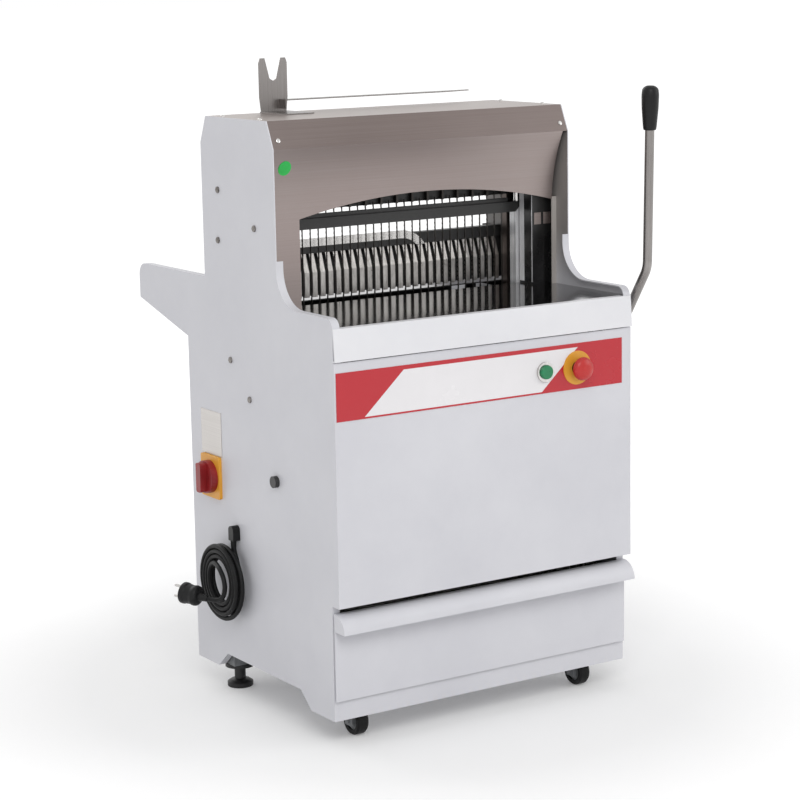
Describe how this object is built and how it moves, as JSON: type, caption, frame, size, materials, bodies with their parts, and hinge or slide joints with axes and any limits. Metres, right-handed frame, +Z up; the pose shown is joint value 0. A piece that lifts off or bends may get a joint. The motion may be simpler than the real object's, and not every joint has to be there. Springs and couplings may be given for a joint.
{
  "type": "bread slicing machine",
  "caption": "Floor-standing bread slicing machine: sheet metal body, two reciprocating blade frames, bent hand feed lever, crumb drawer, coiled mains cord",
  "frame": {"origin": "centre of the footprint on the floor, measured without the cord", "axes": "+X to the machine's right as seen from its front, +Y from the discharge side to the infeed side, +Z up"},
  "size_m": [0.7254, 0.7186, 1.111],
  "materials": {
    "grey_paint": "light grey powder coat with a fine orange peel, satin",
    "white_paint": "white powder coat, satin",
    "polished_steel": "stainless table, polished, faint lengthwise grain",
    "brushed_steel": "brushed stainless, grain across the machine",
    "bright_steel": "ground bright steel",
    "blade_steel": "spring steel blades, darker than their holders",
    "dark_steel": "dark grey painted steel",
    "cast_iron": "painted casting, slightly rough",
    "black_rubber": "black rubber",
    "black_plastic": "black moulded plastic",
    "yellow_plastic": "yellow moulded plastic",
    "red_plastic": "red moulded plastic",
    "green_plastic": "green moulded plastic",
    "label_film": "printed film: white with a red band and a thin red outline, no lettering",
    "plate_aluminium": "bare satin plate",
    "bezel_chrome": "bright ring"
  },
  "bodies": {
    "root": {"left_side_panel": "grey_paint", "right_side_panel": "grey_paint", "front_cover": "grey_paint", "table_nose": "white_paint", "front_table": "polished_steel", "rear_table": "polished_steel", "base_tray": "grey_paint", "rear_cover": "grey_paint", "top_hood": "brushed_steel", "front_guard": "brushed_steel", "guard_legs": "brushed_steel", "guide_housings": "black_plastic", "cross_beams": "dark_steel", "guide_shafts": "bright_steel", "crank_bearings": "cast_iron", "motor_plate": "dark_steel", "motor": "cast_iron", "drive_belt": "black_rubber", "drawer_runners": "dark_steel", "slide_rods": "bright_steel", "rod_mounts": "dark_steel", "labels": "label_film", "spec_plate": "plate_aluminium", "isolator_box": "yellow_plastic", "estop_disc": "yellow_plastic", "button_bezel": "bezel_chrome", "panel_bolts": "bright_steel", "bag_fork": "brushed_steel", "levelling_feet": "dark_steel", "mounting_brackets": "dark_steel", "cord_gland": "black_plastic", "cord_lead": "black_rubber", "cord_coil": "black_rubber", "plug_lead": "black_rubber", "mains_plug": "black_plastic"},
    "front_frame": {"front_blade_frame": "dark_steel", "front_blades": "blade_steel"},
    "rear_frame": {"rear_blade_frame": "dark_steel", "rear_blades": "blade_steel"},
    "crank": {"crankshaft": "bright_steel", "crank_pulley": "cast_iron"},
    "front_rods": {"front_con_rods": "cast_iron"},
    "rear_rods": {"rear_con_rods": "cast_iron"},
    "motor_rotor": {"motor_pulley": "cast_iron"},
    "lever": {"lever_shaft": "bright_steel", "feed_lever": "grey_paint", "lever_knob": "black_plastic"},
    "pusher": {"pusher_carriage": "dark_steel", "pusher_comb": "bright_steel", "pusher_plate": "dark_steel", "pusher_bow": "bright_steel"},
    "drawer": {"drawer_box": "bright_steel", "drawer_front": "grey_paint"},
    "wheel_l": {"left_wheel": "black_rubber"},
    "wheel_r": {"right_wheel": "black_rubber"},
    "isolator": {"isolator_knob": "red_plastic"},
    "start": {"start_button": "green_plastic"},
    "estop_slide": {"estop_neck": "black_plastic"},
    "estop_head": {"estop_button": "red_plastic"},
    "bag_strip": {"bag_arm": "dark_steel"}
  },
  "joints": [
    {"name": "front_frame_slide", "type": "slide", "parent": "root", "child": "front_frame", "axis": [0, 0, 1], "range_m": [0, 0.03]},
    {"name": "rear_frame_slide", "type": "slide", "parent": "root", "child": "rear_frame", "axis": [0, 0, 1], "range_m": [-0.03, 0]},
    {"name": "crankshaft_turn", "type": "hinge", "parent": "root", "child": "crank", "pos_m": [-0.001, -0.02872, 0.43], "axis": [1, 0, 0], "continuous": true},
    {"name": "front_rods_turn", "type": "hinge", "parent": "crank", "child": "front_rods", "pos_m": [-0.001, -0.02872, 0.415], "axis": [1, 0, 0], "continuous": true},
    {"name": "rear_rods_turn", "type": "hinge", "parent": "crank", "child": "rear_rods", "pos_m": [-0.001, -0.02872, 0.445], "axis": [1, 0, 0], "continuous": true},
    {"name": "motor_turn", "type": "hinge", "parent": "root", "child": "motor_rotor", "pos_m": [-0.242, 0.09328, 0.3], "axis": [1, 0, 0], "continuous": true},
    {"name": "lever_swing", "type": "hinge", "parent": "root", "child": "lever", "pos_m": [-0.001, -0.12172, 0.419], "axis": [-1, 0, 0], "range_deg": [0, 54.9]},
    {"name": "pusher_slide", "type": "slide", "parent": "root", "child": "pusher", "axis": [0, 1, 0], "range_m": [0, 0.24]},
    {"name": "drawer_slide", "type": "slide", "parent": "root", "child": "drawer", "axis": [0, -1, 0], "range_m": [0, 0.34]},
    {"name": "left_wheel_turn", "type": "hinge", "parent": "root", "child": "wheel_l", "pos_m": [-0.233, -0.24672, 0.025], "axis": [1, 0, 0], "continuous": true},
    {"name": "right_wheel_turn", "type": "hinge", "parent": "root", "child": "wheel_r", "pos_m": [0.231, -0.24672, 0.025], "axis": [1, 0, 0], "continuous": true},
    {"name": "isolator_turn", "type": "hinge", "parent": "root", "child": "isolator", "pos_m": [-0.307, 0.10228, 0.39], "axis": [1, 0, 0], "range_deg": [0, 90]},
    {"name": "start_press", "type": "slide", "parent": "root", "child": "start", "axis": [0, 1, 0], "range_m": [0, 0.004], "stiffness_N_per_m": 1000},
    {"name": "estop_press", "type": "slide", "parent": "root", "child": "estop_slide", "axis": [0, 1, 0], "range_m": [0, 0.008]},
    {"name": "estop_twist", "type": "hinge", "parent": "estop_slide", "child": "estop_head", "pos_m": [0.182, -0.32772, 0.586], "axis": [0, 1, 0], "range_deg": [0, 45]},
    {"name": "bag_strip_lift", "type": "slide", "parent": "root", "child": "bag_strip", "axis": [0, 0, 1], "range_m": [0, 0.06]}
  ],
  "couplings": [
    {"joint": "rear_frame_slide", "follows": "front_frame_slide", "ratio": -1},
    {"joint": "front_rods_turn", "follows": "crankshaft_turn", "ratio": -1},
    {"joint": "rear_rods_turn", "follows": "crankshaft_turn", "ratio": -1},
    {"joint": "motor_turn", "follows": "crankshaft_turn", "ratio": 2.3333},
    {"joint": "pusher_slide", "follows": "lever_swing", "m_per_rad": 0.25046}
  ]
}
